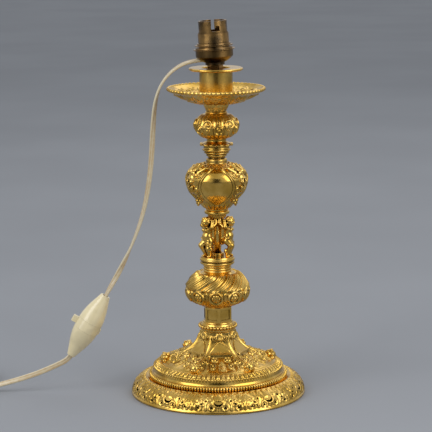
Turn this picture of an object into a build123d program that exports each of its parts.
from build123d import *
import os
from math import cos, pi, radians, sin, sqrt, tan

# Gilt bronze candlestick fitted as a table lamp: millimetres, +Z up.
# The origin is the centre of the base on the surface it stands on. The front faces -Y.
# The castings are stacked on an iron tie rod. The flex leaves the lampholder towards -X.

# Overall sizes
BASE_RADIUS = 81.0
DOME_RADIUS = 62.0
PAN_RADIUS = 44.7
URN_RADIUS = 27.8
LOWER_KNOP_RADIUS = 28.6
UPPER_KNOP_RADIUS = 19.4

# Heights of the stacked pieces, from the floor up
GALLERY_HEIGHT = 16.0
MILLED_RING_HEIGHT = 4.5
DOME_HEIGHT = 38.9
NECK_BEAD_HEIGHT = 8.4
COLUMN_HEIGHT = 13.9
LOWER_KNOP_HEIGHT = 32.8
REEDED_COLLAR_HEIGHT = 7.0
PLINTH_HEIGHT = 7.5
FIGURE_STAGE_HEIGHT = 36.0
CAPITAL_HEIGHT = 6.7
URN_HEIGHT = 47.3
UPPER_COLLAR_HEIGHT = 19.4
UPPER_KNOP_HEIGHT = 23.0
PAN_CUP_HEIGHT = 8.9
PAN_HEIGHT = 14.5
PAN_FLOOR_RISE = 5.9
SOCKET_HEIGHT = 24.3

# Tie rod and its hardware
ROD_RADIUS = 3.0
ROD_CLEARANCE = 0.3
NUT_FLATS = 10.0
NUT_HEIGHT = 5.0
WASHER_RADIUS = 8.5
WASHER_THICKNESS = 1.2
ROD_END = 2.0

# Gallery: an ovolo skirt, pierced, on a plain foot ring
GALLERY_WALL = 2.4
OVOLO_RADIUS = 15.0
FOOT_WIDTH = 4.2
FOOT_HEIGHT = 2.8
GALLERY_REPEATS = 10
RIM_HOLES_PER_REPEAT = 4
RIM_HOLE_RISE = 20.0
CRESCENT_RISE = 40.0
CRESCENT_RADIUS = 4.2
PETAL_HOLE_SIZE = 1.2
RIM_HOLE_SIZE = 1.75

# Base screws through the gallery's lip into the dome
SCREW_COUNT = 4
SCREW_RADIUS = 1.5
SCREW_HEAD_RADIUS = 2.8
SCREW_HEAD_HEIGHT = 1.8
SCREW_CLEARANCE = 0.2
SCREW_BITE = 2.6
LIP_INSIDE_RADIUS = 55.5

# Dome and its six-sided foot
DOME_WALL = 4.0
DOME_TOP_RADIUS = 16.8
DOME_CEILING = 7.0
FRIEZE_RISE = 9.6
FOOT_SIDES = 6
FOOT_TURN = -25.0
BOSS_CIRCLE = 51.0
BOSS_RADIUS = 4.6
BOSS_HEIGHT = 11.0

# Column, knops and collars
COLUMN_RADIUS = 14.0
COLUMN_TURN = 5.0
PANEL_DEPTH = 0.6
PANEL_BORDER = 2.2
BEAD_RADIUS = 17.2
KNOP_NECK_RADIUS = 13.4
LOWER_ROUNDEL_COUNT = 10
LOWER_ROUNDEL_RADIUS = 5.6
LOWER_ROUNDEL_PROUD = 1.4
LOWER_ROUNDEL_DIP = 18.0
LOWER_ROUNDEL_TURN = -3.0
UPPER_ROUNDEL_COUNT = 12
UPPER_ROUNDEL_RADIUS = 4.8
UPPER_ROUNDEL_PROUD = 0.9
UPPER_ROUNDEL_STAGGER = 2.0
UPPER_ROUNDEL_TURN = 8.0
CASTING_WALL = 4.0
COLLAR_RADIUS = 12.9
PLINTH_RADIUS = 16.2
PEDESTAL_RADIUS = 6.3
PEDESTAL_HEIGHT = 3.0
CAPITAL_RADIUS = 11.6
CAPITAL_NECK_RADIUS = 8.0
PETAL_FLANGE_RADIUS = 15.0
URN_NECK_RADIUS = 9.6

# Figures round the tie rod
FIGURE_COUNT = 3
FIGURE_CIRCLE = 10.8
FIGURE_TURN = -53.0
HEAD_RADIUS = 4.3

# Urn ornaments
MASK_COUNT = 3
MASK_TURN = 60.0
MASK_CIRCLE = 20.0
MASK_RADIUS = 9.3
MASK_HEIGHT = 36.2
FRUIT_CIRCLE = 16.5
FRUIT_RADIUS = 5.8
FRUIT_HEIGHT = 10.6

# Candle socket and its loose nozzle
SOCKET_RADIUS = 15.2
SOCKET_BORE = 13.8
SOCKET_FLOOR = 3.0
NOZZLE_SLEEVE_RADIUS = 13.6
NOZZLE_BORE = 12.7
NOZZLE_FLANGE_RADIUS = 24.8
NOZZLE_FLANGE_THICKNESS = 2.4
NOZZLE_LIP_BORE = 9.0
NOZZLE_LIP_THICKNESS = 1.0

# Lampholder, which leans a little towards -X in the nozzle; heights are along its own axis
HOLDER_LEAN = 3.2
PLUG_BUSH_RADIUS = 12.3
PLUG_BUSH_LENGTH = 12.0
NOZZLE_RECESS = 3.2
NIPPLE_RADIUS = 5.0
NIPPLE_FIT = 0.05
NIPPLE_TOP = 17.0
LOCKNUT_FLATS = 12.4
LOCKNUT_HEIGHT = 3.7
CAP_BASE = 11.9
CAP_NECK_RADIUS = 8.8
CAP_NECK_TOP = 14.1
CAP_SHOULDER = 19.8
CAP_TOP = 25.2
CORD_HOLE_RADIUS = 2.9
CORD_HOLE_HEIGHT = 17.0
BARREL_BASE = 24.5
SHANK_TOP = 32.3
THREAD_TOP = 40.7
STEP_BEAD_HEIGHT = 0.9
BARREL_TOP = 51.8
LAMP_BORE = 11.3
BARREL_WALL = 1.6
THREAD_STEP = 1.1
SHANK_RELIEF = 0.2
STEP_BEAD = 0.5
PLUNGER_ROOM_STEP = 0.6
BLOCK_ROOM_STEP = 1.1
CAP_FIT = 0.1
CAP_WALL = 2.9
LOWER_RING_WIDTH = 4.8
UPPER_RING_WIDTH = 3.3
LAMP_BORE_FLOOR = 40.9
BLOCK_TOP = 33.4
SEAT_GAP = 0.1
SLOT_WIDTH = 3.0
SLOT_DEPTH = 9.0
SLOT_TURN = 4.5
SLOT_HOOK = 1.6
RING_FIT = 0.08
LOWER_RING_BASE = 25.4
UPPER_RING_BASE = 29.0
RING_HEIGHT = 2.5
RING_LIP = 1.0

# Terminal block, plungers and springs
BLOCK_BASE = 22.5
BLOCK_FLANGE_FIT = 0.2
BLOCK_FLANGE_HEIGHT = 1.9
CONTACT_OFFSET = 5.5
CONTACT_BORE = 2.5
CONTACT_MOUTH = 1.75
CONTACT_SHOULDER = 31.9
CONTACT_FIT = 0.1
PLUNGER_TOP = 40.3
PLUNGER_COLLAR_TOP = 31.6
PLUNGER_COLLAR = 1.0
TERMINAL_LENGTH = 1.9
SPRING_RADIUS = 1.85
SPRING_WIRE = 0.3
SPRING_PITCH = 1.25

# Flex: a round stand-in for the flat twin flex, and the inline switch on it
CORD_RADIUS = 2.5
CORD_LENGTH = 1800.0
SWITCH_TOP = (-103.9, 0.0, 91.7)
SWITCH_FOOT = (-137.2, 0.0, 35.4)
SWITCH_RADIUS = 11.6
SWITCH_UPPER_END_RADIUS = 4.5
SWITCH_LOWER_END_RADIUS = 3.9
SWITCH_BAND_HEIGHT = 9.4
SWITCH_WALL = 1.6
SWITCH_END_WALL = 2.5
SWITCH_CORD_BORE = 2.75
SPIGOT_RADIUS = 9.0
SPIGOT_LENGTH = 5.0
SPIGOT_FIT = 0.15
BAR_WIDTH = 5.8
BAR_THICKNESS = 4.6
BAR_LEFT_PROUD = 4.9
BAR_RIGHT_PROUD = 0.8
BAR_FIT = 0.1
CORE_ROOM_RADIUS = 6.5
SWITCH_TERMINAL_SIZE = 3.4
SWITCH_TERMINAL_OFFSET = 3.4
SWITCH_TERMINAL_LENGTH = 6.0
TERMINAL_SCREW_RADIUS = 1.0

# Put-away coil and the plug lying on it
COIL_X = -249.0
COIL_Y = 30.0
COIL_INSIDE_RADIUS = 20.0
COIL_OUTSIDE_RADIUS = 35.0
COIL_HEIGHT = 15.0
COIL_EDGE = 2.5
PLUG_BACK_X = -246.0
PLUG_Y = 3.2
PLUG_LENGTH = 36.0
PLUG_WIDTH = 35.3
PLUG_THICKNESS = 13.6
PLUG_NECK = 12.0
PLUG_TAPER_LENGTH = 17.0
PIN_RADIUS = 2.0
PIN_LENGTH = 19.0
PIN_SPACING = 19.0
PIN_ROOT = 8.0
PIN_ROOT_RADIUS = 1.7
PIN_FIT = 0.05

# Levels worked out from the stacked heights
ring_z = GALLERY_HEIGHT
dome_z = ring_z + MILLED_RING_HEIGHT
bead_z = dome_z + DOME_HEIGHT
column_z = bead_z + NECK_BEAD_HEIGHT
lower_knop_z = column_z + COLUMN_HEIGHT
collar_z = lower_knop_z + LOWER_KNOP_HEIGHT
plinth_z = collar_z + REEDED_COLLAR_HEIGHT
figure_z = plinth_z + PLINTH_HEIGHT
capital_z = figure_z + FIGURE_STAGE_HEIGHT
urn_z = capital_z + CAPITAL_HEIGHT
upper_collar_z = urn_z + URN_HEIGHT
upper_knop_z = upper_collar_z + UPPER_COLLAR_HEIGHT
pan_cup_z = upper_knop_z + UPPER_KNOP_HEIGHT
pan_z = pan_cup_z + PAN_CUP_HEIGHT
socket_z = pan_z + PAN_FLOOR_RISE
nozzle_z = socket_z + SOCKET_HEIGHT
nozzle_top_z = nozzle_z + NOZZLE_FLANGE_THICKNESS
rod_bore = ROD_RADIUS + ROD_CLEARANCE
screw_circle = (LIP_INSIDE_RADIUS + DOME_RADIUS) / 2

# The lampholder's radii follow the lamp cap that its bore takes
barrel_radius = LAMP_BORE + BARREL_WALL
thread_radius = barrel_radius + THREAD_STEP
shank_radius = thread_radius - SHANK_RELIEF
step_bead_radius = barrel_radius + STEP_BEAD
plunger_room_radius = LAMP_BORE + PLUNGER_ROOM_STEP
block_room_radius = LAMP_BORE + BLOCK_ROOM_STEP
block_radius = block_room_radius - CAP_FIT
block_flange_radius = shank_radius - BLOCK_FLANGE_FIT
cap_thread = thread_radius + CAP_FIT
cap_radius = cap_thread + CAP_WALL

# The plug bush leans in the nozzle, so its lowest edge sets the level of the nozzle's lip
bush_half = PLUG_BUSH_LENGTH / 2
lean = radians(HOLDER_LEAN)
bush_middle_z = nozzle_top_z - NOZZLE_RECESS - bush_half
bush_low_z = bush_middle_z - bush_half * cos(lean) - PLUG_BUSH_RADIUS * sin(lean)
nozzle_foot_z = bush_low_z - SEAT_GAP - NOZZLE_LIP_THICKNESS

os.makedirs("parts", exist_ok=True)


def finish(part, name):
    """Label a finished piece and write it out."""
    part.label = name
    export_step(part, f"parts/{name}.step")
    print(f"{name}: {part.volume / 1000:.2f} cm3")


def section(points, plane=Plane.XZ):
    """Closed half section from (radius, height) corners, for a turned piece."""
    with BuildSketch(plane) as drawn:
        with BuildLine():
            Polyline(*points, close=True)
        make_face()
    return drawn.sketch


def outward(turn, rise=0.0):
    """Unit vector at a turn from the front towards +X, raised by rise degrees."""
    across = cos(radians(rise))
    return Vector(sin(radians(turn)) * across, -cos(radians(turn)) * across, sin(radians(rise)))


def face_plane(turn, radius, height, rise=0.0):
    """Plane on a round surface: x runs along the surface, z points out of it."""
    along = Vector(cos(radians(turn)), sin(radians(turn)), 0)
    origin = outward(turn) * radius + Vector(0, 0, height)
    return Plane(origin, x_dir=along, z_dir=outward(turn, rise))


def around(count, turn=0.0):
    """Turns of equally spaced repeats, in degrees from the front."""
    return [turn + 360 * number / count for number in range(count)]


# Base gallery: pierced ovolo skirt with a lip that carries the milled ring and dome
ovolo_x = BASE_RADIUS - 1.0 - OVOLO_RADIUS
ovolo_z = GALLERY_HEIGHT - OVOLO_RADIUS


def ovolo_plane(turn, rise):
    """Plane on the outside of the ovolo, rise degrees up its curve."""
    radius = ovolo_x + OVOLO_RADIUS * cos(radians(rise))
    height = ovolo_z + OVOLO_RADIUS * sin(radians(rise))
    return face_plane(turn, radius, height, rise)


repeat_turns = around(GALLERY_REPEATS)
repeat_angle = 360 / GALLERY_REPEATS
rim_turns = around(GALLERY_REPEATS * RIM_HOLES_PER_REPEAT, repeat_angle / RIM_HOLES_PER_REPEAT / 2)
petal_places = ((-0.235, 44), (0.235, 44), (-0.32, 32), (0.32, 32))

with BuildPart() as base_gallery:
    with BuildSketch(Plane.XZ) as gallery_section:
        with BuildLine():
            outer_curve = CenterArc((ovolo_x, ovolo_z), OVOLO_RADIUS, 0, 90)
            inner_curve = CenterArc((ovolo_x, ovolo_z), OVOLO_RADIUS - GALLERY_WALL, 0, 90)
            Line(outer_curve @ 0, inner_curve @ 0)
            Line(outer_curve @ 1, inner_curve @ 1)
        make_face()
        with Locations((BASE_RADIUS - FOOT_WIDTH / 2, FOOT_HEIGHT / 2)):
            RectangleRounded(FOOT_WIDTH, FOOT_HEIGHT, 0.8)
        with Locations(((LIP_INSIDE_RADIUS + ovolo_x) / 2, GALLERY_HEIGHT - GALLERY_WALL / 2)):
            Rectangle(ovolo_x - LIP_INSIDE_RADIUS, GALLERY_WALL)
    revolve(axis=Axis.Z)
    with BuildSketch(*[ovolo_plane(turn, CRESCENT_RISE) for turn in repeat_turns]):
        Circle(CRESCENT_RADIUS)
        with Locations((0, CRESCENT_RADIUS * 0.55)):
            Circle(CRESCENT_RADIUS * 1.08, mode=Mode.SUBTRACT)
    extrude(amount=-2 * GALLERY_WALL, both=True, mode=Mode.SUBTRACT)
    petal_planes = [ovolo_plane(turn + share * repeat_angle, rise)
                    for turn in repeat_turns for share, rise in petal_places]
    with BuildSketch(*petal_planes):
        RegularPolygon(PETAL_HOLE_SIZE, 4)
    extrude(amount=-2 * GALLERY_WALL, both=True, mode=Mode.SUBTRACT)
    with BuildSketch(*[ovolo_plane(turn, RIM_HOLE_RISE) for turn in rim_turns]):
        RegularPolygon(RIM_HOLE_SIZE, 3, rotation=90)
    extrude(amount=-2 * GALLERY_WALL, both=True, mode=Mode.SUBTRACT)
    with Locations(Plane.XY.offset(GALLERY_HEIGHT)):
        with PolarLocations(screw_circle, SCREW_COUNT, start_angle=45):
            Hole(SCREW_RADIUS + SCREW_CLEARANCE, depth=GALLERY_WALL)
finish(base_gallery.part, "base_gallery")

# Milled ring between the gallery and the dome
with BuildPart() as milled_ring:
    with BuildSketch(Plane.XY.offset(ring_z)):
        Circle(DOME_RADIUS + 0.5)
        Circle(LIP_INSIDE_RADIUS, mode=Mode.SUBTRACT)
        with PolarLocations(screw_circle, SCREW_COUNT, start_angle=45):
            Circle(SCREW_RADIUS + SCREW_CLEARANCE, mode=Mode.SUBTRACT)
    extrude(amount=MILLED_RING_HEIGHT)
    rims = milled_ring.edges().filter_by(GeomType.CIRCLE).group_by(SortBy.RADIUS)[-1]
    fillet(rims, MILLED_RING_HEIGHT * 0.3)
finish(milled_ring.part, "milled_ring")

# Dome: plain band, stepped edge, then a concave six-sided foot with a boss at each arris
dome_top = dome_z + DOME_HEIGHT
ceiling_z = dome_top - DOME_CEILING
band_radius = DOME_RADIUS - 1.8
frieze_radius = DOME_RADIUS - 10
cap_height = FRIEZE_RISE + 5.2

with BuildPart() as base_dome:
    revolve(section([
        (0, dome_z),
        (DOME_RADIUS, dome_z),
        (band_radius, dome_z + 4.1),
        (band_radius - 1.4, dome_z + 5.9),
        (frieze_radius, dome_z + FRIEZE_RISE),
        (frieze_radius - 11, dome_z + FRIEZE_RISE + 3.2),
        (frieze_radius - 22, dome_z + cap_height),
        (0, dome_z + cap_height),
    ]), axis=Axis.Z)
    # The foot's corner radii at heights above the dome's seat: wide and flat, then steep
    foot_stations = [
        (FRIEZE_RISE, BOSS_CIRCLE), (15.4, 42.0), (17.9, 33.0), (21.6, 26.4), (27.0, 21.0),
        (DOME_HEIGHT, DOME_TOP_RADIUS),
    ]
    for height, radius in foot_stations:
        with BuildSketch(Plane.XY.offset(dome_z + height)):
            RegularPolygon(radius, FOOT_SIDES, rotation=FOOT_TURN + 30)
    loft(ruled=True)
    boss_places = [outward(turn) * BOSS_CIRCLE + Vector(0, 0, dome_z + BOSS_HEIGHT)
                   for turn in around(FOOT_SIDES, FOOT_TURN)]
    with Locations(*boss_places):
        Sphere(BOSS_RADIUS)
    # Hollow underside, with a flat ceiling for the washer
    revolve(section([
        (0, dome_z),
        (LIP_INSIDE_RADIUS, dome_z),
        (LIP_INSIDE_RADIUS, dome_z + FRIEZE_RISE - DOME_WALL - 2.0),
        (frieze_radius - 3, dome_z + FRIEZE_RISE - DOME_WALL),
        (frieze_radius - 12, dome_z + FRIEZE_RISE + 3.2 - DOME_WALL),
        (frieze_radius - 24, dome_z + cap_height - DOME_WALL),
        (DOME_TOP_RADIUS + 2.2, dome_z + cap_height - DOME_WALL + 3.0),
        (DOME_TOP_RADIUS - 4.3, ceiling_z - 5.0),
        (WASHER_RADIUS + 1.0, ceiling_z),
        (0, ceiling_z),
    ]), axis=Axis.Z, mode=Mode.SUBTRACT)
    with Locations((0, 0, dome_top)):
        Hole(rod_bore, depth=2 * DOME_CEILING)
    with Locations(Plane.XY.offset(dome_z + SCREW_BITE)):
        with PolarLocations(screw_circle, SCREW_COUNT, start_angle=45):
            Hole(SCREW_RADIUS, depth=2 * SCREW_BITE)
finish(base_dome.part, "base_dome")

# Base screws: cheese heads under the gallery's lip
with BuildPart() as base_screws:
    lip_bottom = GALLERY_HEIGHT - GALLERY_WALL
    with PolarLocations(screw_circle, SCREW_COUNT, start_angle=45):
        with Locations((0, 0, lip_bottom - SCREW_HEAD_HEIGHT)):
            head_align = (Align.CENTER, Align.CENTER, Align.MIN)
            Cylinder(SCREW_HEAD_RADIUS, SCREW_HEAD_HEIGHT, align=head_align)
            shank_length = SCREW_HEAD_HEIGHT + GALLERY_WALL + MILLED_RING_HEIGHT + SCREW_BITE
            Cylinder(SCREW_RADIUS - 0.02, shank_length, align=head_align)
            Box(0.8, 2 * SCREW_HEAD_RADIUS, 0.8, align=head_align, mode=Mode.SUBTRACT)
finish(base_screws.part, "base_screws")

# Beaded torus under the column
with BuildPart() as neck_bead:
    with BuildSketch(Plane.XZ):
        with BuildLine():
            foot_edge = Line((rod_bore, bead_z), (BEAD_RADIUS - 1.2, bead_z))
            swell = ThreePointArc(
                foot_edge @ 1,
                (BEAD_RADIUS, bead_z + NECK_BEAD_HEIGHT * 0.45),
                (BEAD_RADIUS - 2.4, bead_z + NECK_BEAD_HEIGHT * 0.85),
            )
            Polyline(
                swell @ 1,
                (COLUMN_RADIUS - 0.4, column_z),
                (rod_bore, column_z),
                (rod_bore, bead_z),
            )
        make_face()
    revolve(axis=Axis.Z)
finish(neck_bead.part, "neck_bead")

# Six-sided column with a sunk panel on each side
with BuildPart() as hex_column:
    with BuildSketch(Plane.XY.offset(column_z)):
        RegularPolygon(COLUMN_RADIUS, FOOT_SIDES, rotation=COLUMN_TURN + 30)
        Circle(rod_bore, mode=Mode.SUBTRACT)
    extrude(amount=COLUMN_HEIGHT)
    apothem = COLUMN_RADIUS * cos(pi / FOOT_SIDES)
    side_turns = around(FOOT_SIDES, COLUMN_TURN + 30)
    side_planes = [face_plane(turn, apothem, column_z + COLUMN_HEIGHT / 2) for turn in side_turns]
    with BuildSketch(*side_planes):
        Rectangle(COLUMN_RADIUS - 2 * PANEL_BORDER, COLUMN_HEIGHT - 2 * PANEL_BORDER)
    extrude(amount=-PANEL_DEPTH, mode=Mode.SUBTRACT)
finish(hex_column.part, "hex_column")


def roundel_planes(count, turn, dip, radius, height, stagger=0.0):
    """Planes for a ring of roundels that dip degrees down, every other one a stagger lower and higher."""
    return [face_plane(angle, radius, height - stagger * (-1) ** number, -dip)
            for number, angle in enumerate(around(count, turn))]


# Lower knop: hollow bulb with ten roundels below its widest part
knop_middle = lower_knop_z + LOWER_KNOP_HEIGHT * 0.52
knop_top = lower_knop_z + LOWER_KNOP_HEIGHT

with BuildPart() as lower_knop:
    with BuildSketch(Plane.XZ):
        with BuildLine():
            lower_bulb = Spline(
                (KNOP_NECK_RADIUS, lower_knop_z + 1.6),
                (LOWER_KNOP_RADIUS - 3.8, lower_knop_z + LOWER_KNOP_HEIGHT * 0.22),
                (LOWER_KNOP_RADIUS, knop_middle),
                (LOWER_KNOP_RADIUS - 7.0, lower_knop_z + LOWER_KNOP_HEIGHT * 0.85),
                (KNOP_NECK_RADIUS, knop_top),
                tangents=((1, 0.25), (-1, 0.35)),
            )
            Polyline(
                lower_bulb @ 1,
                (rod_bore, knop_top),
                (rod_bore, lower_knop_z),
                (KNOP_NECK_RADIUS, lower_knop_z),
                lower_bulb @ 0,
            )
        make_face()
    revolve(axis=Axis.Z)
    roundel_height = lower_knop_z + LOWER_KNOP_HEIGHT * 0.38
    roundel_root = LOWER_KNOP_RADIUS - 4.5
    lower_planes = roundel_planes(
        LOWER_ROUNDEL_COUNT, LOWER_ROUNDEL_TURN, LOWER_ROUNDEL_DIP, roundel_root, roundel_height)
    with BuildSketch(*lower_planes):
        Circle(LOWER_ROUNDEL_RADIUS)
    extrude(amount=LOWER_ROUNDEL_PROUD + 4.5)
    hollow = LOWER_KNOP_RADIUS - CASTING_WALL
    revolve(section([
        (rod_bore, lower_knop_z + CASTING_WALL + 1),
        (hollow * 0.62, lower_knop_z + LOWER_KNOP_HEIGHT * 0.3),
        (hollow * 0.88, knop_middle),
        (hollow * 0.62, knop_top - LOWER_KNOP_HEIGHT * 0.25),
        (rod_bore, knop_top - CASTING_WALL - 1),
    ]), axis=Axis.Z, mode=Mode.SUBTRACT)
finish(lower_knop.part, "lower_knop")


def reeds(base, heights, radii):
    """Outline of a reeded collar: one round reed between each pair of heights."""
    outline = []
    for low, high, radius in zip(heights, heights[1:], radii):
        middle = (low + high) / 2
        bulge = (high - low) * 0.32
        outline += [(radius - bulge, base + low), (radius, base + middle - bulge * 0.6)]
        outline += [(radius, base + middle + bulge * 0.6), (radius - bulge, base + high)]
    return outline


# Reeded collar of three rings
with BuildPart() as reeded_collar:
    third = REEDED_COLLAR_HEIGHT / 3
    reed_heights = [0, third, 2 * third, REEDED_COLLAR_HEIGHT]
    revolve(section([
        (rod_bore, collar_z),
        *reeds(collar_z, reed_heights, [COLLAR_RADIUS, COLLAR_RADIUS - 0.4, COLLAR_RADIUS]),
        (rod_bore, plinth_z),
    ]), axis=Axis.Z)
finish(reeded_collar.part, "reeded_collar")

# Plinth: two flange rings, a floor for the figures and a small pedestal round the rod
with BuildPart() as figure_plinth:
    revolve(section([
        (rod_bore, plinth_z),
        *reeds(plinth_z, [0, 3.0, 6.1], [PLINTH_RADIUS - 0.4, PLINTH_RADIUS]),
        (PLINTH_RADIUS - 1.2, figure_z),
        (PEDESTAL_RADIUS, figure_z),
        (PEDESTAL_RADIUS, figure_z + PEDESTAL_HEIGHT),
        (rod_bore, figure_z + PEDESTAL_HEIGHT),
    ]), axis=Axis.Z)
finish(figure_plinth.part, "figure_plinth")

# Three standing children, arms raised to the capital; y runs inwards in each figure's own frame
for number, turn in enumerate(around(FIGURE_COUNT, FIGURE_TURN), start=1):
    stance = face_plane(turn, FIGURE_CIRCLE, figure_z)
    tall = FIGURE_STAGE_HEIGHT / 36.0

    def spot(x, inward, height, root=stance):
        """Point in a figure's frame, with heights scaled to the stage."""
        return root.origin + root.x_dir * x - root.z_dir * inward + Vector(0, 0, height * tall)

    def level(x, inward, height, root=stance):
        """Horizontal plane at a point of the figure."""
        return Plane(spot(x, inward, height, root), x_dir=root.x_dir, z_dir=(0, 0, 1))

    with BuildPart() as figure:
        torso = [(0, 15.5, 4.6, 3.3), (-0.6, 20.5, 4.3, 3.6), (-0.4, 25.5, 4.6, 3.2), (-0.3, 29.4, 2.2, 2.0)]
        for inward, height, wide, deep in torso:
            with BuildSketch(level(0, inward, height)):
                Ellipse(wide, deep)
        loft()
        for side in (-1, 1):
            leg = [(2.7, -1.4, 0, 1.7), (2.5, -0.2, 4.5, 2.1), (2.4, -0.8, 9.0, 2.0), (2.1, -0.2, 16.5, 2.9)]
            for x, inward, height, thick in leg:
                with BuildSketch(level(side * x, inward, height)):
                    Circle(thick)
            loft()
            shoulder = spot(side * 3.9, -0.2, 27.0)
            elbow = spot(side * 7.0, -0.6, 28.5)
            hand = spot(side * 5.6, 0.9, 33.6)
            with BuildLine() as arm_line:
                ThreePointArc(shoulder, elbow, hand)
            with BuildSketch(Plane(arm_line.line @ 0, z_dir=arm_line.line % 0)):
                Circle(1.45)
            sweep()
        with Locations(spot(0, -1.6, 33.6)):
            Sphere(HEAD_RADIUS)
    finish(figure.part, f"putto_{number}")

# Capital ring over the figures
with BuildPart() as figure_capital:
    revolve(section([
        (rod_bore, capital_z),
        (CAPITAL_NECK_RADIUS, capital_z),
        (CAPITAL_NECK_RADIUS + 0.6, capital_z + CAPITAL_HEIGHT * 0.5),
        (CAPITAL_RADIUS, capital_z + CAPITAL_HEIGHT * 0.6),
        (CAPITAL_RADIUS, capital_z + CAPITAL_HEIGHT * 0.9),
        (CAPITAL_RADIUS - 0.8, urn_z),
        (rod_bore, urn_z),
    ]), axis=Axis.Z)
finish(figure_capital.part, "figure_capital")

# Urn: hollow body with three mask bosses on the shoulder and fruit below them
with BuildPart() as urn:
    urn_widest = urn_z + URN_HEIGHT * 0.62
    with BuildSketch(Plane.XZ):
        with BuildLine():
            urn_side = Spline(
                (CAPITAL_RADIUS - 1.2, urn_z + 1.8),
                (URN_RADIUS * 0.62, urn_z + URN_HEIGHT * 0.2),
                (URN_RADIUS, urn_widest),
                (URN_RADIUS * 0.72, urn_z + URN_HEIGHT * 0.85),
                (URN_NECK_RADIUS, urn_z + URN_HEIGHT * 0.92),
                tangents=((0.5, 0.5), (-1, 0.3)),
            )
            Polyline(
                urn_side @ 1,
                (URN_NECK_RADIUS, upper_collar_z),
                (rod_bore, upper_collar_z),
                (rod_bore, urn_z),
                (CAPITAL_RADIUS - 1.2, urn_z),
                urn_side @ 0,
            )
        make_face()
    revolve(axis=Axis.Z)
    mask_turns = around(MASK_COUNT, MASK_TURN)
    with Locations(*[outward(turn) * MASK_CIRCLE + Vector(0, 0, urn_z + MASK_HEIGHT) for turn in mask_turns]):
        Sphere(MASK_RADIUS)
    with Locations(*[outward(turn) * FRUIT_CIRCLE + Vector(0, 0, urn_z + FRUIT_HEIGHT) for turn in mask_turns]):
        Sphere(FRUIT_RADIUS)
    hollow = URN_RADIUS - CASTING_WALL
    revolve(section([
        (rod_bore, urn_z + CASTING_WALL + 2),
        (hollow * 0.5, urn_z + URN_HEIGHT * 0.27),
        (hollow, urn_widest),
        (hollow * 0.7, urn_z + URN_HEIGHT * 0.76),
        (rod_bore, urn_z + URN_HEIGHT * 0.8),
    ]), axis=Axis.Z, mode=Mode.SUBTRACT)
finish(urn.part, "urn")

# Upper collar: reeds under a petal flange
with BuildPart() as upper_collar:
    flange_z = upper_collar_z + UPPER_COLLAR_HEIGHT * 0.72
    revolve(section([
        (rod_bore, upper_collar_z),
        (URN_NECK_RADIUS, upper_collar_z),
        (URN_NECK_RADIUS - 2.0, upper_collar_z + 1.9),
        *reeds(upper_collar_z, [2.6, 5.3, 7.6, 10.4], [COLLAR_RADIUS - 3.4, COLLAR_RADIUS - 1.4, COLLAR_RADIUS]),
        (PETAL_FLANGE_RADIUS - 3.4, flange_z - 1.6),
        (PETAL_FLANGE_RADIUS, flange_z - 0.8),
        (PETAL_FLANGE_RADIUS, flange_z + 0.6),
        (URN_NECK_RADIUS + 1.4, flange_z + 1.6),
        (URN_NECK_RADIUS - 0.7, flange_z + 3.0),
        (URN_NECK_RADIUS - 0.7, upper_knop_z),
        (rod_bore, upper_knop_z),
    ]), axis=Axis.Z)
finish(upper_collar.part, "upper_collar")

# Upper knop with its ring of roundels
with BuildPart() as upper_knop:
    knop_base_radius = URN_NECK_RADIUS + 1.2
    knop_equator = upper_knop_z + UPPER_KNOP_HEIGHT * 0.5
    with BuildSketch(Plane.XZ):
        with BuildLine():
            bulb = Spline(
                (knop_base_radius, upper_knop_z),
                (UPPER_KNOP_RADIUS, knop_equator),
                (knop_base_radius, pan_cup_z),
                tangents=((1, 0.25), (-1, 0.25)),
            )
            Polyline(bulb @ 1, (rod_bore, pan_cup_z), (rod_bore, upper_knop_z), bulb @ 0)
        make_face()
    revolve(axis=Axis.Z)
    upper_planes = roundel_planes(
        UPPER_ROUNDEL_COUNT, UPPER_ROUNDEL_TURN, 0, UPPER_KNOP_RADIUS - 3, knop_equator, UPPER_ROUNDEL_STAGGER)
    with BuildSketch(*upper_planes):
        Circle(UPPER_ROUNDEL_RADIUS)
    extrude(amount=UPPER_ROUNDEL_PROUD + 3)
    hollow = UPPER_KNOP_RADIUS - CASTING_WALL
    revolve(section([
        (rod_bore, upper_knop_z + CASTING_WALL),
        (hollow * 0.85, knop_equator - 3.5),
        (hollow * 0.85, knop_equator + 3.5),
        (rod_bore, pan_cup_z - CASTING_WALL),
    ]), axis=Axis.Z, mode=Mode.SUBTRACT)
finish(upper_knop.part, "upper_knop")

# Cup under the drip pan
with BuildPart() as pan_cup:
    revolve(section([
        (rod_bore, pan_cup_z),
        (9.6, pan_cup_z),
        (10.2, pan_cup_z + 0.9),
        (9.6, pan_cup_z + 1.9),
        (8.8, pan_cup_z + 2.4),
        (9.4, pan_cup_z + 3.9),
        (10.6, pan_cup_z + 6.0),
        (11.8, pan_z),
        (rod_bore, pan_z),
    ]), axis=Axis.Z)
finish(pan_cup.part, "pan_cup")

# Drip pan: shallow dish with a raised rim
rim_z = pan_z + PAN_HEIGHT
with BuildPart() as drip_pan:
    with BuildSketch(Plane.XZ):
        with BuildLine():
            underside = Spline(
                (13.0, pan_z),
                (PAN_RADIUS * 0.62, pan_z + PAN_HEIGHT * 0.27),
                (PAN_RADIUS, rim_z - 1.8),
                tangents=((1, 0.05), (1, 0.75)),
            )
            lip = ThreePointArc(
                underside @ 1,
                (PAN_RADIUS - 0.2, rim_z - 0.5),
                (PAN_RADIUS - 1.4, rim_z),
            )
            dish = Spline(
                lip @ 1,
                (PAN_RADIUS * 0.72, socket_z + 2.0),
                (SOCKET_RADIUS + 1.6, socket_z),
                tangents=((-1, -0.75), (-1, 0)),
            )
            Polyline(dish @ 1, (rod_bore, socket_z), (rod_bore, pan_z), underside @ 0)
        make_face()
    revolve(axis=Axis.Z)
finish(drip_pan.part, "drip_pan")

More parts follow.
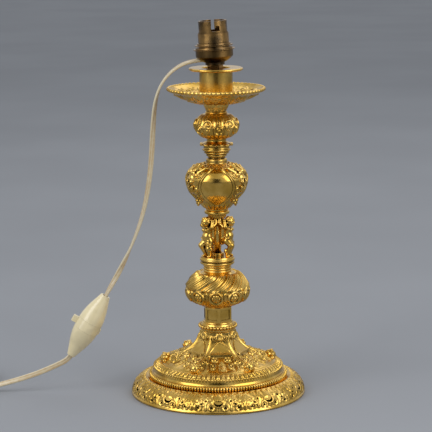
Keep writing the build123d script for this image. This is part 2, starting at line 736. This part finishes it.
# Candle socket
with BuildPart() as candle_socket:
    revolve(section([
        (rod_bore, socket_z),
        (SOCKET_RADIUS + 1.2, socket_z),
        (SOCKET_RADIUS + 1.2, socket_z + 1.2),
        (SOCKET_RADIUS, socket_z + 2.0),
        (SOCKET_RADIUS, nozzle_z),
        (SOCKET_BORE, nozzle_z),
        (SOCKET_BORE, socket_z + SOCKET_FLOOR),
        (rod_bore, socket_z + SOCKET_FLOOR),
    ]), axis=Axis.Z)
finish(candle_socket.part, "candle_socket")

# Loose nozzle: flanged sleeve that drops into the socket
with BuildPart() as nozzle:
    revolve(section([
        (NOZZLE_BORE, nozzle_top_z - 0.5),
        (NOZZLE_BORE + 0.6, nozzle_top_z),
        (NOZZLE_FLANGE_RADIUS - 0.8, nozzle_top_z),
        (NOZZLE_FLANGE_RADIUS, nozzle_top_z - 0.8),
        (NOZZLE_FLANGE_RADIUS, nozzle_z + 0.6),
        (NOZZLE_FLANGE_RADIUS - 0.6, nozzle_z),
        (NOZZLE_SLEEVE_RADIUS, nozzle_z),
        (NOZZLE_SLEEVE_RADIUS, nozzle_foot_z),
        (NOZZLE_LIP_BORE, nozzle_foot_z),
        (NOZZLE_LIP_BORE, nozzle_foot_z + NOZZLE_LIP_THICKNESS),
        (NOZZLE_BORE, nozzle_foot_z + NOZZLE_LIP_THICKNESS),
    ]), axis=Axis.Z)
finish(nozzle.part, "nozzle")


def hex_nut(flats, height, z, bore):
    """Hexagon nut standing on level z round the stack's axis."""
    with BuildPart() as nut:
        with BuildSketch(Plane.XY.offset(z)):
            RegularPolygon(flats / sqrt(3), 6)
            Circle(bore, mode=Mode.SUBTRACT)
        extrude(amount=height)
    return nut.part


def washer(radius, z, bore):
    """Flat washer standing on level z."""
    with BuildPart() as disc:
        with BuildSketch(Plane.XY.offset(z)):
            Circle(radius)
            Circle(bore, mode=Mode.SUBTRACT)
        extrude(amount=WASHER_THICKNESS)
    return disc.part


# Tie rod with a nut and washer under the dome and in the socket
lower_nut_z = ceiling_z - WASHER_THICKNESS - NUT_HEIGHT
upper_washer_z = socket_z + SOCKET_FLOOR
rod_bottom = lower_nut_z - ROD_END
rod_top = upper_washer_z + WASHER_THICKNESS + NUT_HEIGHT + ROD_END / 4
with BuildPart() as tie_rod:
    with BuildSketch(Plane.XY.offset(rod_bottom)):
        Circle(ROD_RADIUS)
    extrude(amount=rod_top - rod_bottom)
    chamfer(tie_rod.edges().filter_by(GeomType.CIRCLE), 0.4)
finish(tie_rod.part, "tie_rod")
nut_bore = ROD_RADIUS + 0.02
finish(washer(WASHER_RADIUS, ceiling_z - WASHER_THICKNESS, rod_bore), "base_washer")
finish(hex_nut(NUT_FLATS, NUT_HEIGHT, lower_nut_z, nut_bore), "base_nut")
finish(washer(WASHER_RADIUS, upper_washer_z, rod_bore), "socket_washer")
finish(hex_nut(NUT_FLATS, NUT_HEIGHT, upper_washer_z + WASHER_THICKNESS, nut_bore), "socket_nut")

# Lampholder frame: its axis leans towards -X and crosses the stack's axis inside the plug bush
holder_root = Vector(0, 0, bush_middle_z)
holder_up = Vector(-sin(lean), 0, cos(lean))
holder_side = Vector(cos(lean), 0, sin(lean))
holder_axis = Axis(holder_root, holder_up)
holder_section = Plane(holder_root, x_dir=holder_side, z_dir=(0, -1, 0))


def holder_level(height, x=0.0):
    """Plane square to the lampholder's axis, x off it towards its side."""
    return Plane(holder_root + holder_up * height + holder_side * x, x_dir=holder_side, z_dir=holder_up)


def turned_holder(points):
    """Piece turned about the lampholder's axis."""
    with BuildPart() as piece:
        revolve(section(points, holder_section), axis=holder_axis)
    return piece.part


# Plug bush in the nozzle, tapped for the nipple
nipple_foot = 2.0 - bush_half
finish(turned_holder([
    (0, -bush_half),
    (PLUG_BUSH_RADIUS, -bush_half),
    (PLUG_BUSH_RADIUS, bush_half - 0.6),
    (PLUG_BUSH_RADIUS - 0.6, bush_half),
    (NIPPLE_RADIUS + NIPPLE_FIT, bush_half),
    (NIPPLE_RADIUS + NIPPLE_FIT, nipple_foot),
    (0, nipple_foot),
]), "plug_bush")

# Nipple, with a plain bore
finish(turned_holder([
    (NIPPLE_RADIUS - 1.5, nipple_foot),
    (NIPPLE_RADIUS, nipple_foot),
    (NIPPLE_RADIUS, NIPPLE_TOP),
    (NIPPLE_RADIUS - 1.5, NIPPLE_TOP),
]), "nipple")

# Locknut under the cap
with BuildPart() as nipple_locknut:
    with BuildSketch(holder_level(CAP_BASE - LOCKNUT_HEIGHT)):
        RegularPolygon(LOCKNUT_FLATS / sqrt(3), 6)
        Circle(NIPPLE_RADIUS + NIPPLE_FIT, mode=Mode.SUBTRACT)
    extrude(amount=LOCKNUT_HEIGHT)
finish(nipple_locknut.part, "nipple_locknut")

# Holder cap: neck, dome and cylinder, with the cord's hole in its left side
with BuildPart() as holder_cap:
    cap_room = block_radius - CAP_FIT
    shoulder = BLOCK_BASE - SEAT_GAP
    with BuildSketch(holder_section):
        with BuildLine():
            dome_line = ThreePointArc(
                (CAP_NECK_RADIUS, CAP_NECK_TOP),
                (cap_radius - 2.6, CAP_NECK_TOP + 3.1),
                (cap_radius, CAP_SHOULDER),
            )
            Polyline(
                dome_line @ 1,
                (cap_radius, CAP_TOP),
                (cap_thread, CAP_TOP),
                (cap_thread, shoulder),
                (cap_room, shoulder),
                (cap_room, CAP_SHOULDER - 1.0),
                (NIPPLE_RADIUS + 2.6, CAP_NECK_TOP + 0.5),
                (NIPPLE_RADIUS + NIPPLE_FIT, CAP_NECK_TOP + 0.5),
                (NIPPLE_RADIUS + NIPPLE_FIT, CAP_BASE),
                (CAP_NECK_RADIUS, CAP_BASE),
                dome_line @ 0,
            )
        make_face()
    revolve(axis=holder_axis)
    hole_start = holder_root + holder_up * CORD_HOLE_HEIGHT - holder_side * (NIPPLE_RADIUS + 1)
    with BuildSketch(Plane(hole_start, x_dir=(0, 1, 0), z_dir=holder_side * -1)):
        Circle(CORD_HOLE_RADIUS)
    extrude(amount=cap_radius, mode=Mode.SUBTRACT)
finish(holder_cap.part, "holder_cap")

# Barrel: threaded skirt, stepped bore and two bayonet slots, front and back
with BuildPart() as holder_barrel:
    revolve(section([
        (block_room_radius, BARREL_BASE),
        (shank_radius, BARREL_BASE),
        (shank_radius, SHANK_TOP),
        (thread_radius, SHANK_TOP),
        (thread_radius, THREAD_TOP),
        (step_bead_radius, THREAD_TOP),
        (step_bead_radius, THREAD_TOP + STEP_BEAD_HEIGHT),
        (barrel_radius, THREAD_TOP + STEP_BEAD_HEIGHT),
        (barrel_radius, BARREL_TOP),
        (LAMP_BORE, BARREL_TOP),
        (LAMP_BORE, LAMP_BORE_FLOOR),
        (plunger_room_radius, LAMP_BORE_FLOOR),
        (plunger_room_radius, BLOCK_TOP + SEAT_GAP),
        (block_room_radius, BLOCK_TOP + SEAT_GAP),
    ], holder_section), axis=holder_axis)
    slot_top = holder_root + holder_up * BARREL_TOP
    slot_planes = [Plane(slot_top, x_dir=holder_side * way, z_dir=(0, -way, 0)) for way in (1, -1)]
    with BuildSketch(*slot_planes):
        with Locations((0, -SLOT_DEPTH / 2)):
            Rectangle(SLOT_WIDTH, SLOT_DEPTH)
        with Locations((SLOT_TURN / 2, -SLOT_DEPTH + SLOT_WIDTH / 2)):
            Rectangle(SLOT_WIDTH + SLOT_TURN, SLOT_WIDTH)
        with Locations((SLOT_TURN, -SLOT_DEPTH + SLOT_WIDTH / 2 + SLOT_HOOK / 2)):
            Rectangle(SLOT_WIDTH, SLOT_WIDTH + SLOT_HOOK)
    extrude(amount=barrel_radius + 1, mode=Mode.SUBTRACT)
finish(holder_barrel.part, "holder_barrel")


def shade_ring(width, base):
    """Flanged ring that runs on the barrel's thread and stands width out from it."""
    bore = thread_radius + RING_FIT
    radius = thread_radius + width
    return turned_holder([
        (bore, base),
        (radius - RING_LIP, base),
        (radius, base + RING_LIP * 0.4),
        (radius, base + RING_LIP),
        (radius - 2.0, base + RING_LIP + 0.3),
        (radius - 2.2, base + RING_HEIGHT),
        (bore, base + RING_HEIGHT),
    ])


finish(shade_ring(LOWER_RING_WIDTH, LOWER_RING_BASE), "shade_ring_lower")
finish(shade_ring(UPPER_RING_WIDTH, UPPER_RING_BASE), "shade_ring_upper")

# Terminal block, clamped by its flange between cap and barrel
contact_places = (-CONTACT_OFFSET, CONTACT_OFFSET)
with BuildPart() as terminal_block:
    revolve(section([
        (0, BLOCK_BASE),
        (block_flange_radius, BLOCK_BASE),
        (block_flange_radius, BLOCK_BASE + BLOCK_FLANGE_HEIGHT),
        (block_radius, BLOCK_BASE + BLOCK_FLANGE_HEIGHT),
        (block_radius, BLOCK_TOP),
        (0, BLOCK_TOP),
    ], holder_section), axis=holder_axis)
    with BuildSketch(*[holder_level(BLOCK_BASE, x) for x in contact_places]):
        Circle(CONTACT_BORE)
    extrude(amount=CONTACT_SHOULDER - BLOCK_BASE, mode=Mode.SUBTRACT)
    with BuildSketch(*[holder_level(BLOCK_BASE, x) for x in contact_places]):
        Circle(CONTACT_MOUTH)
    extrude(amount=BLOCK_TOP - BLOCK_BASE, mode=Mode.SUBTRACT)
finish(terminal_block.part, "terminal_block")

# Holder terminals: brass slugs that close the contact bores from below
with BuildPart() as holder_terminals:
    with BuildSketch(*[holder_level(BLOCK_BASE + SEAT_GAP, x) for x in contact_places]):
        Circle(CONTACT_BORE - CONTACT_FIT)
        Circle(0.8, mode=Mode.SUBTRACT)
    extrude(amount=TERMINAL_LENGTH)
finish(holder_terminals.part, "holder_terminals")

# Plungers and their springs, left and right
spring_foot = BLOCK_BASE + SEAT_GAP + TERMINAL_LENGTH + SPRING_WIRE
spring_head = PLUNGER_COLLAR_TOP - PLUNGER_COLLAR - SPRING_WIRE
for side, x in zip(("left", "right"), contact_places):
    with BuildPart() as plunger:
        with BuildSketch(holder_level(PLUNGER_COLLAR_TOP - PLUNGER_COLLAR, x)):
            Circle(CONTACT_BORE - CONTACT_FIT)
        extrude(amount=PLUNGER_COLLAR)
        with BuildSketch(holder_level(PLUNGER_COLLAR_TOP - PLUNGER_COLLAR, x)):
            Circle(CONTACT_MOUTH - CONTACT_FIT)
        extrude(amount=PLUNGER_TOP - PLUNGER_COLLAR_TOP + PLUNGER_COLLAR)
        fillet(plunger.faces().sort_by(Axis.Z)[-1].edges(), 0.7)
    finish(plunger.part, f"plunger_{side}")

    spring_base = holder_level(spring_foot, x)
    with BuildPart() as spring:
        with BuildLine() as coil_line:
            Helix(SPRING_PITCH, spring_head - spring_foot, SPRING_RADIUS,
                  center=spring_base.origin, direction=spring_base.z_dir)
        with BuildSketch(Plane(coil_line.line @ 0, z_dir=coil_line.line % 0)):
            RegularPolygon(SPRING_WIRE, 6)
        sweep(is_frenet=True)
    finish(spring.part, f"plunger_spring_{side}")

# Inline switch frame: its axis runs up the flex, and the bar slides square to it
switch_up = (Vector(*SWITCH_TOP) - Vector(*SWITCH_FOOT)).normalized()
switch_length = (Vector(*SWITCH_TOP) - Vector(*SWITCH_FOOT)).length
switch_centre = (Vector(*SWITCH_TOP) + Vector(*SWITCH_FOOT)) * 0.5
switch_push = Vector(-switch_up.Z, 0, switch_up.X)
switch_axis = Axis(switch_centre, switch_up)
switch_section = Plane(switch_centre, x_dir=switch_push, z_dir=switch_push.cross(switch_up))
half_band = SWITCH_BAND_HEIGHT / 2
half_switch = switch_length / 2


def switch_shell(end_radius, way):
    """Tapered half shell; way is 1 for the upper one and -1 for the lower."""
    def at(radius, along):
        return (radius, way * along)
    with BuildPart() as shell:
        with BuildSketch(switch_section):
            with BuildLine():
                taper = Spline(
                    at(SWITCH_RADIUS, half_band + SEAT_GAP),
                    at((SWITCH_RADIUS + end_radius) / 2 + 1.1, (half_band + half_switch) / 2),
                    at(end_radius, half_switch),
                    tangents=(at(-0.05, 1), at(-0.32, 1)),
                )
                Polyline(
                    taper @ 1,
                    at(SWITCH_CORD_BORE, half_switch),
                    at(SWITCH_CORD_BORE, half_switch - SWITCH_END_WALL),
                    at((SWITCH_RADIUS + end_radius) / 2 + 1.1 - SWITCH_WALL, (half_band + half_switch) / 2),
                    at(SPIGOT_RADIUS + SPIGOT_FIT, half_band + SPIGOT_LENGTH + 1),
                    at(SPIGOT_RADIUS + SPIGOT_FIT, half_band + SEAT_GAP),
                    taper @ 0,
                )
            make_face()
        revolve(axis=switch_axis)
    return shell.part


finish(switch_shell(SWITCH_UPPER_END_RADIUS, 1), "switch_shell_upper")
finish(switch_shell(SWITCH_LOWER_END_RADIUS, -1), "switch_shell_lower")

# Switch body: the band between the shells, with a spigot each way and the bar's slot
with BuildPart() as switch_body:
    revolve(section([
        (0, -half_band - SPIGOT_LENGTH),
        (SPIGOT_RADIUS, -half_band - SPIGOT_LENGTH),
        (SPIGOT_RADIUS, -half_band),
        (SWITCH_RADIUS, -half_band),
        (SWITCH_RADIUS, half_band),
        (SPIGOT_RADIUS, half_band),
        (SPIGOT_RADIUS, half_band + SPIGOT_LENGTH),
        (0, half_band + SPIGOT_LENGTH),
    ], switch_section), axis=switch_axis)
    bar_plane = Plane(switch_centre, x_dir=switch_up, z_dir=switch_push)
    with BuildSketch(bar_plane):
        Rectangle(BAR_WIDTH + 2 * BAR_FIT, BAR_THICKNESS + 2 * BAR_FIT)
    extrude(amount=SWITCH_RADIUS + 1, both=True, mode=Mode.SUBTRACT)
    # A room at each end for a terminal
    for way in (-1, 1):
        room = switch_centre + switch_up * way * (half_band - 0.6)
        with BuildSketch(Plane(room, x_dir=switch_push, z_dir=switch_up * way)):
            Circle(CORE_ROOM_RADIUS)
        extrude(amount=SPIGOT_LENGTH + 0.6, mode=Mode.SUBTRACT)
finish(switch_body.part, "switch_body")

# Push bar, resting pushed to the upper left
with BuildPart() as switch_bar:
    bar_length = 2 * SWITCH_RADIUS + BAR_LEFT_PROUD + BAR_RIGHT_PROUD
    bar_middle = switch_centre + switch_push * ((BAR_LEFT_PROUD - BAR_RIGHT_PROUD) / 2)
    with BuildSketch(Plane(bar_middle, x_dir=switch_up, z_dir=switch_push)):
        Rectangle(BAR_WIDTH, BAR_THICKNESS)
    extrude(amount=bar_length / 2, both=True)
    bar_ends = switch_bar.faces().sort_by(Axis(bar_middle, switch_push))
    fillet(bar_ends[0].edges() + bar_ends[-1].edges(), 0.7)
finish(switch_bar.part, "switch_bar")

# Switch terminals and their screws, one at each end of the body
terminal_centres = [switch_centre + switch_up * way * (half_band + SPIGOT_LENGTH / 2)
                    + Vector(0, 1, 0) * way * SWITCH_TERMINAL_OFFSET for way in (-1, 1)]
terminal_planes = [Plane(place, x_dir=switch_push, z_dir=switch_up) for place in terminal_centres]
with BuildPart() as switch_terminals:
    with BuildSketch(*terminal_planes):
        Rectangle(SWITCH_TERMINAL_LENGTH, SWITCH_TERMINAL_SIZE)
    extrude(amount=SWITCH_TERMINAL_SIZE / 2 + 0.9, both=True)
    screw_starts = [plane.origin - switch_push * (SWITCH_TERMINAL_LENGTH / 2) for plane in terminal_planes]
    with BuildSketch(*[Plane(start, x_dir=switch_up, z_dir=switch_push) for start in screw_starts]):
        Circle(TERMINAL_SCREW_RADIUS)
    extrude(amount=SWITCH_TERMINAL_LENGTH, mode=Mode.SUBTRACT)
finish(switch_terminals.part, "switch_terminals")

with BuildPart() as switch_screws:
    with BuildSketch(*[Plane(start, x_dir=switch_up, z_dir=switch_push) for start in screw_starts]):
        Circle(TERMINAL_SCREW_RADIUS - 0.02)
    extrude(amount=SWITCH_TERMINAL_LENGTH - 1.0)
finish(switch_screws.part, "switch_screws")


# Flex routes: corner points of straight runs, which are joined by arcs as large as the runs allow
def cord_radii(points):
    """Arc radius at each inner corner: 0.45 of the shorter run over the tangent of half the turn."""
    radii = []
    for before, corner, after in zip(points, points[1:], points[2:]):
        first = Vector(*corner) - Vector(*before)
        second = Vector(*after) - Vector(*corner)
        half_turn = radians(first.get_angle(second)) / 2
        radii.append(0.45 * min(first.length, second.length) / tan(half_turn))
    return radii


def cord_tube(points, name):
    """Round tube along a route, written out with its smallest radius and its length."""
    radii = cord_radii(points)
    with BuildPart() as tube:
        with BuildLine() as route:
            FilletPolyline(*points, radius=radii)
        with BuildSketch(Plane(route.line @ 0, z_dir=route.line % 0)):
            Circle(CORD_RADIUS)
        sweep(transition=Transition.RIGHT)
    length = sum(edge.length for edge in route.edges())
    share = tube.part.volume / (pi * CORD_RADIUS ** 2 * length)
    print(f"{name} radii: {[round(radius, 1) for radius in radii]}")
    print(f"{name} length {length:.1f}, volume share {share:.4f}")
    finish(tube.part, name)
    return length


cord_start = holder_root + holder_up * CORD_HOLE_HEIGHT - holder_side * (NIPPLE_RADIUS + 2.5)
switch_entry = Vector(*SWITCH_TOP) + switch_up * 25.0
switch_entry_end = Vector(*SWITCH_TOP) - switch_up * 6.0
upper_route = [
    tuple(cord_start),
    (-24.0, -1.0, 309.2),
    (-39.0, -2.5, 301.6),
    (-50.4, -3.0, 288.4),
    (-55.6, -3.0, 271.5),
    (-57.6, -2.5, 250.0),
    (-59.0, -2.0, 225.0),
    (-61.8, -1.5, 198.0),
    (-67.3, -1.0, 170.0),
    (-77.3, -0.5, 142.0),
    tuple(switch_entry),
    tuple(switch_entry_end),
]
switch_exit_start = Vector(*SWITCH_FOOT) + switch_up * 6.0
switch_exit = Vector(*SWITCH_FOOT) - switch_up * 5.0
lower_route = [
    tuple(switch_exit_start),
    tuple(switch_exit),
    (-152.0, -0.4, 25.2),
    (-168.0, -1.0, 18.4),
    (-186.0, -1.5, 12.6),
    (-205.0, -1.9, 7.6),
    (-225.0, -2.3, 2.9),
    (-240.0, -2.5, 2.6),
]
plug_z = COIL_HEIGHT + PLUG_THICKNESS / 2
coil_middle = (COIL_INSIDE_RADIUS + COIL_OUTSIDE_RADIUS) / 2
tail_route = [
    (COIL_X + coil_middle, COIL_Y, COIL_HEIGHT - CORD_RADIUS),
    (COIL_X + coil_middle + 0.6, COIL_Y - 10.5, 13.4),
    (COIL_X + coil_middle - 4.2, COIL_Y - 21.0, 17.0),
    (COIL_X + coil_middle - 13.6, PLUG_Y + 0.4, 21.2),
    (PLUG_BACK_X, PLUG_Y, plug_z),
]
upper_length = cord_tube(upper_route, "cord_upper")
lower_length = cord_tube(lower_route, "cord_lower")
tail_length = cord_tube(tail_route, "cord_tail")

# Put-away coil: one ring of the coil's outer shape
with BuildPart() as cord_coil:
    with BuildSketch(Plane.XY) as ring_outline:
        with Locations((COIL_X, COIL_Y)):
            Circle(COIL_OUTSIDE_RADIUS)
            Circle(COIL_INSIDE_RADIUS, mode=Mode.SUBTRACT)
    extrude(amount=COIL_HEIGHT)
    fillet(cord_coil.edges(), COIL_EDGE)
finish(cord_coil.part, "cord_coil")
coiled = CORD_LENGTH - upper_length - lower_length - tail_length - switch_length
print(f"coiled length {coiled:.0f}, turns {coiled / (2 * pi * coil_middle):.2f}")

# Flat two-pin plug lying on the coil, pins towards -X
plug_face_x = PLUG_BACK_X - PLUG_LENGTH
with BuildPart() as plug_body:
    with BuildSketch(Plane.XY.offset(plug_z - PLUG_THICKNESS / 2)):
        with BuildLine():
            Polyline(
                (PLUG_BACK_X, PLUG_Y - PLUG_NECK / 2),
                (PLUG_BACK_X, PLUG_Y + PLUG_NECK / 2),
                (PLUG_BACK_X - PLUG_TAPER_LENGTH, PLUG_Y + PLUG_WIDTH / 2),
                (plug_face_x, PLUG_Y + PLUG_WIDTH / 2),
                (plug_face_x, PLUG_Y - PLUG_WIDTH / 2),
                (PLUG_BACK_X - PLUG_TAPER_LENGTH, PLUG_Y - PLUG_WIDTH / 2),
                close=True,
            )
        make_face()
    extrude(amount=PLUG_THICKNESS)
    fillet(plug_body.edges().filter_by(Axis.Z), 2.5)
    level_edges = plug_body.edges().filter_by(Plane.XY)
    fillet(level_edges.group_by(Axis.Z)[0] + level_edges.group_by(Axis.Z)[-1], 2.0)
    pin_planes = [Plane((plug_face_x, PLUG_Y + side * PIN_SPACING / 2, plug_z), z_dir=(1, 0, 0))
                  for side in (-1, 1)]
    with BuildSketch(*pin_planes):
        Circle(PIN_ROOT_RADIUS + PIN_FIT)
    extrude(amount=PIN_ROOT, mode=Mode.SUBTRACT)
finish(plug_body.part, "plug_body")

with BuildPart() as plug_pins:
    with BuildSketch(*pin_planes):
        Circle(PIN_ROOT_RADIUS)
    extrude(amount=PIN_ROOT)
    with BuildSketch(*pin_planes):
        Circle(PIN_RADIUS)
    extrude(amount=-PIN_LENGTH)
    tips = plug_pins.edges().filter_by(GeomType.CIRCLE).group_by(Axis.X)[0]
    chamfer(tips, 0.6)
finish(plug_pins.part, "plug_pins")
